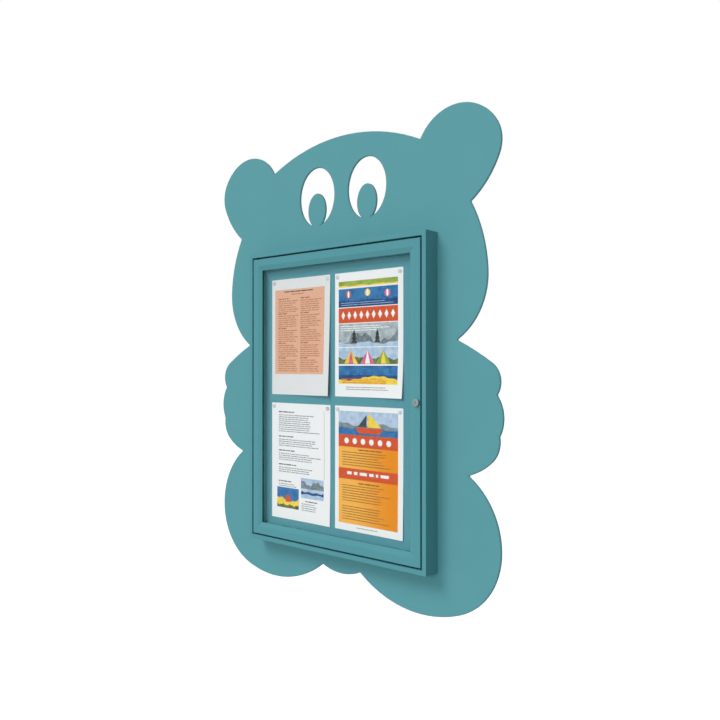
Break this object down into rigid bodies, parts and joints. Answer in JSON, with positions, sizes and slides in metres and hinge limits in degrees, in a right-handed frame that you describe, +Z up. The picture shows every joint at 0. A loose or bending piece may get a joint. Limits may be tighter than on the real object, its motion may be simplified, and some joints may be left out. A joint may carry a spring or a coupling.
{
  "type": "notice board display case",
  "caption": "Shallow wall notice case with a hinged glazed door, cam lock and notices held by magnets, fixed on a flat teddy-bear shaped panel.",
  "frame": {"origin": "on the wall plane, at the back of the panel, behind the middle of the case and of its four wall holes", "axes": "+X to the viewer's right, +Y back into the wall, +Z up; the door faces -Y"},
  "size_m": [0.9112, 0.054, 1.1237],
  "materials": {
    "coated_panel": "teal powder coat on aluminium sheet",
    "coated_case": "teal powder coat on aluminium profile",
    "coated_door": "teal powder coat on aluminium profile",
    "coated_bead": "teal powder coat on aluminium profile",
    "coated_board": "teal enamelled steel sheet that magnets hold to",
    "mill_aluminium": "mill finish",
    "zinc_steel": "zinc plated",
    "lock_metal": "satin nickel plated zinc",
    "seal_rubber": "dark slate extruded rubber",
    "glazing": "clear safety glass",
    "clear_plastic": "clear moulded plastic over a magnet",
    "notice_paper": "printed paper in a laminated film",
    "blackened_steel": "blackened and oiled",
    "black_nylon": "moulded nylon"
  },
  "bodies": {
    "case": {"backing_panel": "coated_panel", "case_left_stile": "coated_case", "case_right_stile": "coated_case", "case_top_rail": "coated_case", "case_bottom_rail": "coated_case", "case_cleat_upper_left": "mill_aluminium", "case_cleat_lower_left": "mill_aluminium", "case_cleat_upper_right": "mill_aluminium", "case_cleat_lower_right": "mill_aluminium", "case_screws": "zinc_steel", "case_nuts": "zinc_steel", "display_board": "coated_board", "board_screws": "zinc_steel", "board_nuts": "zinc_steel", "hinge_pin_top": "blackened_steel", "hinge_pin_bottom": "blackened_steel", "thrust_washer": "black_nylon", "door_seal_top": "seal_rubber", "door_seal_bottom": "seal_rubber", "door_seal_lock_side": "seal_rubber", "notice_upper_left": "notice_paper", "notice_lower_left": "notice_paper", "notice_upper_right": "notice_paper", "notice_lower_right": "notice_paper", "notice_magnets": "clear_plastic"},
    "door": {"door_left_stile": "coated_door", "door_right_stile": "coated_door", "door_top_rail": "coated_door", "door_bottom_rail": "coated_door", "door_cleat_upper_left": "mill_aluminium", "door_cleat_lower_left": "mill_aluminium", "door_cleat_upper_right": "mill_aluminium", "door_cleat_lower_right": "mill_aluminium", "hinge_bush_top": "black_nylon", "hinge_bush_bottom": "black_nylon", "glazing_pane": "glazing", "glazing_gasket": "seal_rubber", "setting_blocks": "black_nylon", "glazing_bead_left": "coated_bead", "glazing_bead_right": "coated_bead", "glazing_bead_top": "coated_bead", "glazing_bead_bottom": "coated_bead", "lock_body": "lock_metal", "lock_nut": "zinc_steel"},
    "lock": {"lock_plug": "lock_metal", "lock_cam": "zinc_steel", "cam_screw": "zinc_steel"}
  },
  "joints": [
    {"name": "door_hinge", "type": "hinge", "parent": "case", "child": "door", "pos_m": [-0.2685, -0.042, 0], "axis": [0, 0, -1], "range_deg": [0, 110]},
    {"name": "lock_turn", "type": "hinge", "parent": "door", "child": "lock", "pos_m": [0.2655, -0.042, 0], "axis": [0, -1, 0], "range_deg": [0, 90]}
  ]
}
